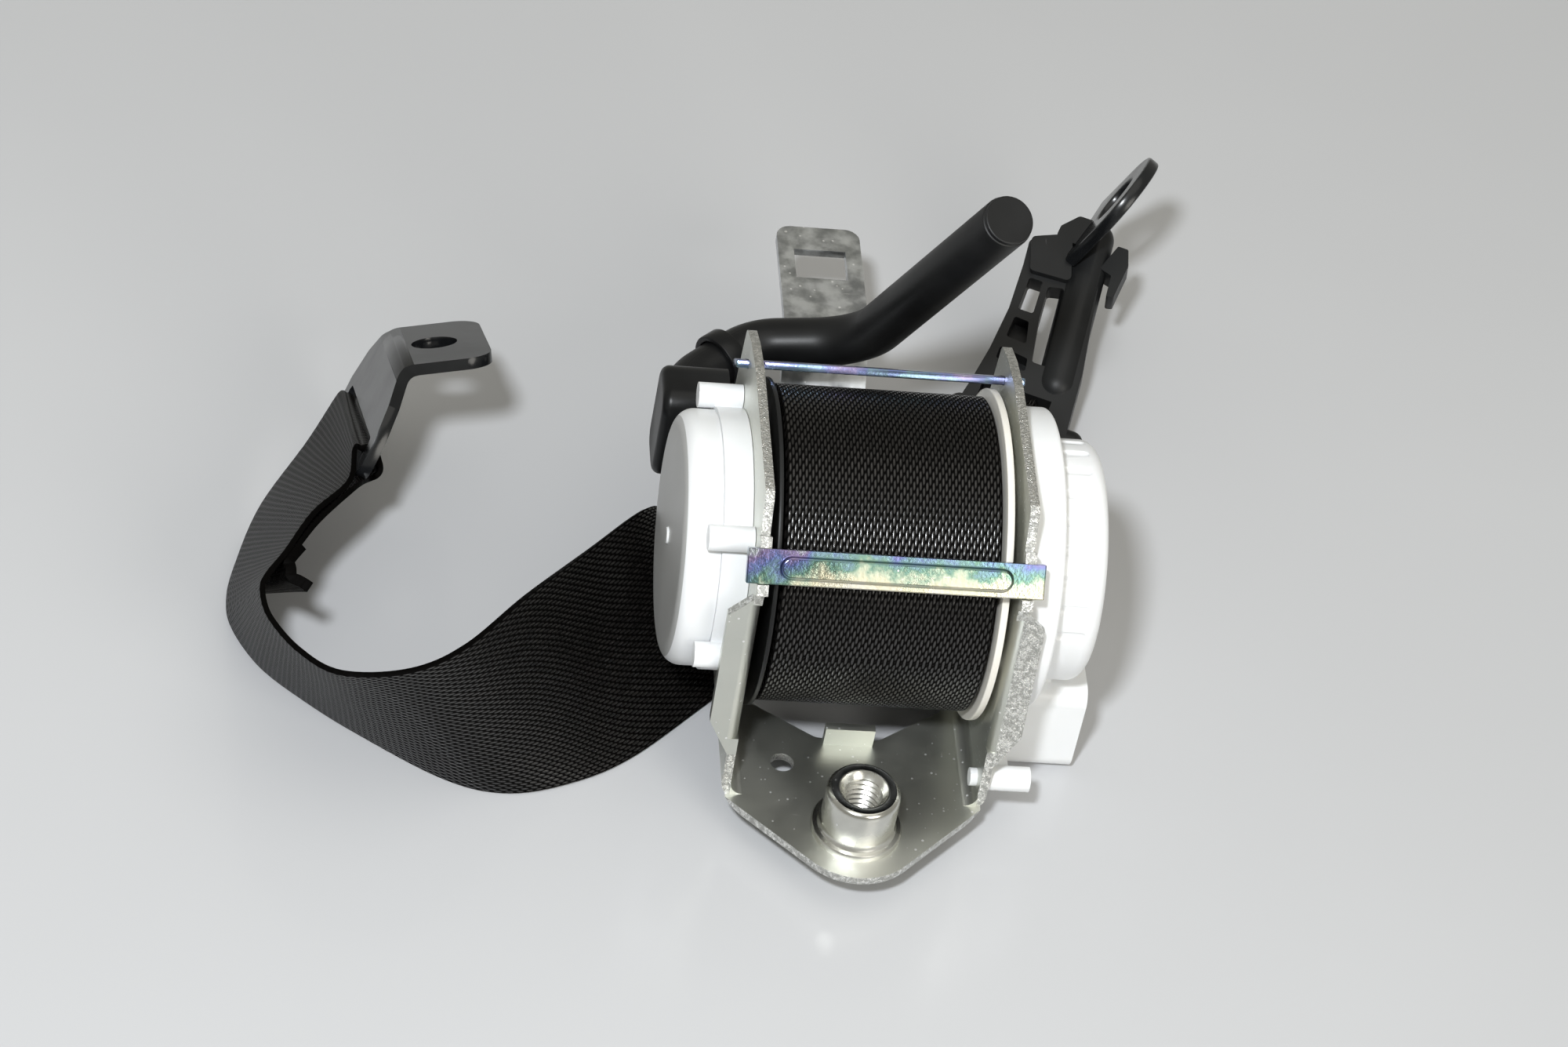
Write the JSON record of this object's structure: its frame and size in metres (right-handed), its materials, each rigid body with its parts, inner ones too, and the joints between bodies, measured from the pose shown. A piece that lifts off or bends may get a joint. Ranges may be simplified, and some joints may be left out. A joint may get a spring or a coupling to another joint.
{
  "type": "seat belt",
  "caption": "Seat belt retractor with pretensioner tube, webbing loop, bolted anchor plate and pillar loop, laid out on a flat surface.",
  "frame": {"origin": "axis of the mounting nut's thread at the underside of the back plate", "axes": "+Z along the thread from the back plate towards the spool, +X along the spool axis towards the locking side, +Y from the nut to the hook tab"},
  "size_m": [0.2177, 0.2061, 0.1253],
  "materials": {
    "zinc_plate": "bright blue-passivated zinc plate over pressed sheet steel",
    "nut_steel": "bright turned steel",
    "white_plastic": "natural white moulded acetal, slightly translucent",
    "black_steel": "satin black paint on steel tube",
    "black_coat": "glossy black electrocoat on sheet steel",
    "black_plastic": "moulded black plastic",
    "cast_alloy": "die-cast alloy",
    "webbing": "black woven polyester webbing"
  },
  "bodies": {
    "retractor": {"frame_bracket": "zinc_plate", "mounting_nut": "nut_steel", "lower_tie_bar": "zinc_plate", "upper_tie_bar": "zinc_plate", "bush_left": "white_plastic", "bush_right": "white_plastic", "lock_pawl_pin": "nut_steel", "sensor_housing": "white_plastic", "sensor_ball": "nut_steel", "mechanism_cover": "white_plastic", "spring_base": "white_plastic", "spring_cover": "white_plastic", "return_spring": "nut_steel", "pretensioner_tube": "black_steel", "gas_generator": "black_steel", "drive_balls": "nut_steel", "pretensioner_housing": "black_plastic", "tube_clip": "black_plastic", "webbing_long_run": "webbing", "webbing_short_run": "webbing", "webbing_pillar_turn": "webbing", "webbing_anchor_turn": "webbing", "webbing_sewn_ply": "webbing"},
    "spool": {"spool_core": "cast_alloy", "torsion_bar": "nut_steel", "spool_flange_left": "black_plastic", "spool_flange_right": "white_plastic", "webbing_roll": "webbing", "lock_ratchet": "nut_steel", "spring_arbor": "white_plastic", "pretensioner_pinion": "nut_steel"},
    "pawl": {"lock_pawl": "nut_steel"},
    "pilot": {"pilot_disc": "white_plastic"},
    "lever": {"sensor_lever": "white_plastic"},
    "piston": {"drive_piston": "black_plastic"},
    "anchor": {"anchor_plate": "black_coat"},
    "pillar_loop": {"pillar_loop_guide": "black_plastic", "pillar_loop_plate": "black_coat"}
  },
  "joints": [
    {"name": "spool_spin", "type": "hinge", "parent": "retractor", "child": "spool", "pos_m": [0, 0.048, 0.04], "axis": [1, 0, 0], "continuous": true},
    {"name": "lock_pawl_tilt", "type": "hinge", "parent": "retractor", "child": "pawl", "pos_m": [0.03225, 0.0296, 0.022], "axis": [1, 0, 0], "range_deg": [0, 10], "stiffness_Nm_per_rad": 0.002},
    {"name": "pilot_disc_turn", "type": "hinge", "parent": "spool", "child": "pilot", "pos_m": [0.03485, 0.048, 0.04], "axis": [1, 0, 0], "range_deg": [0, 20], "stiffness_Nm_per_rad": 0.002},
    {"name": "sensor_lever_tilt", "type": "hinge", "parent": "retractor", "child": "lever", "pos_m": [0.03685, 0.0582, 0.00661], "axis": [-1, 0, 0], "range_deg": [0, 12]},
    {"name": "drive_piston_slide", "type": "slide", "parent": "retractor", "child": "piston", "axis": [-0.1818, 0.4799, -0.8583], "range_m": [0, 0.03]},
    {"name": "anchor_plate_swing", "type": "hinge", "parent": "retractor", "child": "anchor", "pos_m": [-0.10984, 0.09791, 0.0153], "axis": [0.039, -0.8673, 0.4962], "range_deg": [-25, 25]},
    {"name": "pillar_loop_swing", "type": "hinge", "parent": "retractor", "child": "pillar_loop", "pos_m": [0.04688, 0.13481, -0.00123], "axis": [-0.9221, 0.387, 0], "range_deg": [-10, 50]}
  ]
}
